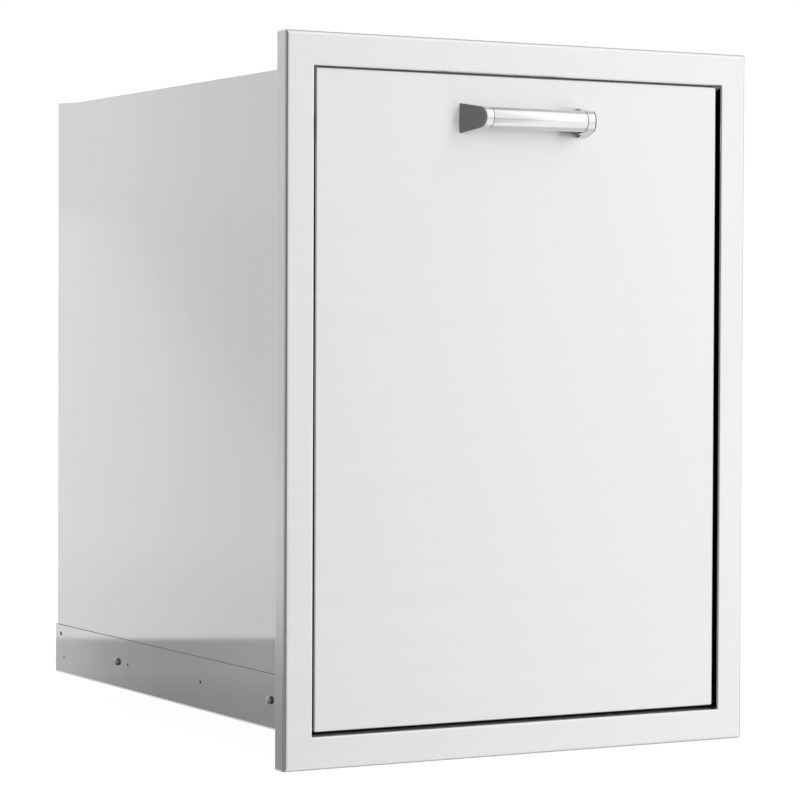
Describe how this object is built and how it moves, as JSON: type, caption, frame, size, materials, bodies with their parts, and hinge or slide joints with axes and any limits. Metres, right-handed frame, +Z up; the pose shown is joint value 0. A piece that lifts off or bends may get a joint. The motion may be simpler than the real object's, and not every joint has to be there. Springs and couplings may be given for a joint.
{
  "type": "built-in pull-out bin cabinet",
  "caption": "Built-in stainless-steel bin drawer: a flanged box set in a cut-out, whose flush front and tray roll forward on ball slides with two bins.",
  "frame": {"origin": "middle of the box's underside, which rests on the sill of the cut-out", "axes": "+Z up, -Y out of the front through the drawer front, +X to the right seen from the front"},
  "size_m": [0.5144, 0.6463, 0.6858],
  "materials": {
    "brushed_steel_sheet": "fine brushed sheet, satin bright",
    "polished_handle": "polished",
    "zinc_plated_steel": "zinc plated, satin",
    "dark_cap": "fine satin, dark grey",
    "bin_plastic": "moulded, fine matt grain"
  },
  "bodies": {
    "cabinet": {"face_frame": "brushed_steel_sheet", "side_panel_left": "brushed_steel_sheet", "side_panel_right": "brushed_steel_sheet", "rear_panel": "brushed_steel_sheet", "top_panel": "brushed_steel_sheet", "base_pan": "brushed_steel_sheet", "slide_outer_left": "zinc_plated_steel", "slide_outer_right": "zinc_plated_steel", "slide_screw_left_front": "zinc_plated_steel", "slide_screw_left_rear": "zinc_plated_steel", "slide_screw_right_front": "zinc_plated_steel", "slide_screw_right_rear": "zinc_plated_steel", "slide_nut_left_front": "zinc_plated_steel", "slide_nut_left_rear": "zinc_plated_steel", "slide_nut_right_front": "zinc_plated_steel", "slide_nut_right_rear": "zinc_plated_steel"},
    "drawer": {"door_skin": "brushed_steel_sheet", "door_liner": "brushed_steel_sheet", "handle_tube": "polished_handle", "handle_bracket_left": "polished_handle", "handle_bracket_right": "polished_handle", "handle_cap_left": "dark_cap", "handle_cap_right": "dark_cap", "handle_screw_left": "zinc_plated_steel", "handle_screw_right": "zinc_plated_steel", "bin_tray": "brushed_steel_sheet", "door_brace_left": "brushed_steel_sheet", "door_brace_right": "brushed_steel_sheet", "bin_divider": "brushed_steel_sheet", "slide_inner_left": "zinc_plated_steel", "slide_inner_right": "zinc_plated_steel", "tray_screw_left_front": "zinc_plated_steel", "tray_screw_left_rear": "zinc_plated_steel", "tray_screw_right_front": "zinc_plated_steel", "tray_screw_right_rear": "zinc_plated_steel"},
    "slide_middle_left_body": {"slide_middle_left": "zinc_plated_steel"},
    "ball_cage_outer_left_body": {"ball_cage_outer_left": "zinc_plated_steel"},
    "ball_cage_inner_left_body": {"ball_cage_inner_left": "zinc_plated_steel"},
    "slide_middle_right_body": {"slide_middle_right": "zinc_plated_steel"},
    "ball_cage_outer_right_body": {"ball_cage_outer_right": "zinc_plated_steel"},
    "ball_cage_inner_right_body": {"ball_cage_inner_right": "zinc_plated_steel"},
    "bin_front_body": {"bin_front": "bin_plastic"},
    "bin_rear_body": {"bin_rear": "bin_plastic"}
  },
  "joints": [
    {"name": "drawer_slide", "type": "slide", "parent": "cabinet", "child": "drawer", "axis": [0, -1, 0], "range_m": [0, 0.55]},
    {"name": "slide_middle_left_travel", "type": "slide", "parent": "cabinet", "child": "slide_middle_left_body", "axis": [0, -1, 0], "range_m": [0, 0.275]},
    {"name": "ball_cage_outer_left_travel", "type": "slide", "parent": "cabinet", "child": "ball_cage_outer_left_body", "axis": [0, -1, 0], "range_m": [0, 0.1375]},
    {"name": "ball_cage_inner_left_travel", "type": "slide", "parent": "cabinet", "child": "ball_cage_inner_left_body", "axis": [0, -1, 0], "range_m": [0, 0.4125]},
    {"name": "slide_middle_right_travel", "type": "slide", "parent": "cabinet", "child": "slide_middle_right_body", "axis": [0, -1, 0], "range_m": [0, 0.275]},
    {"name": "ball_cage_outer_right_travel", "type": "slide", "parent": "cabinet", "child": "ball_cage_outer_right_body", "axis": [0, -1, 0], "range_m": [0, 0.1375]},
    {"name": "ball_cage_inner_right_travel", "type": "slide", "parent": "cabinet", "child": "ball_cage_inner_right_body", "axis": [0, -1, 0], "range_m": [0, 0.4125]},
    {"name": "bin_front_lift", "type": "slide", "parent": "drawer", "child": "bin_front_body", "axis": [0, 0, 1], "range_m": [0, 0.14]},
    {"name": "bin_rear_lift", "type": "slide", "parent": "drawer", "child": "bin_rear_body", "axis": [0, 0, 1], "range_m": [0, 0.14]}
  ],
  "couplings": [
    {"joint": "slide_middle_left_travel", "follows": "drawer_slide", "ratio": 0.5},
    {"joint": "ball_cage_outer_left_travel", "follows": "drawer_slide", "ratio": 0.25},
    {"joint": "ball_cage_inner_left_travel", "follows": "drawer_slide", "ratio": 0.75},
    {"joint": "slide_middle_right_travel", "follows": "drawer_slide", "ratio": 0.5},
    {"joint": "ball_cage_outer_right_travel", "follows": "drawer_slide", "ratio": 0.25},
    {"joint": "ball_cage_inner_right_travel", "follows": "drawer_slide", "ratio": 0.75}
  ]
}
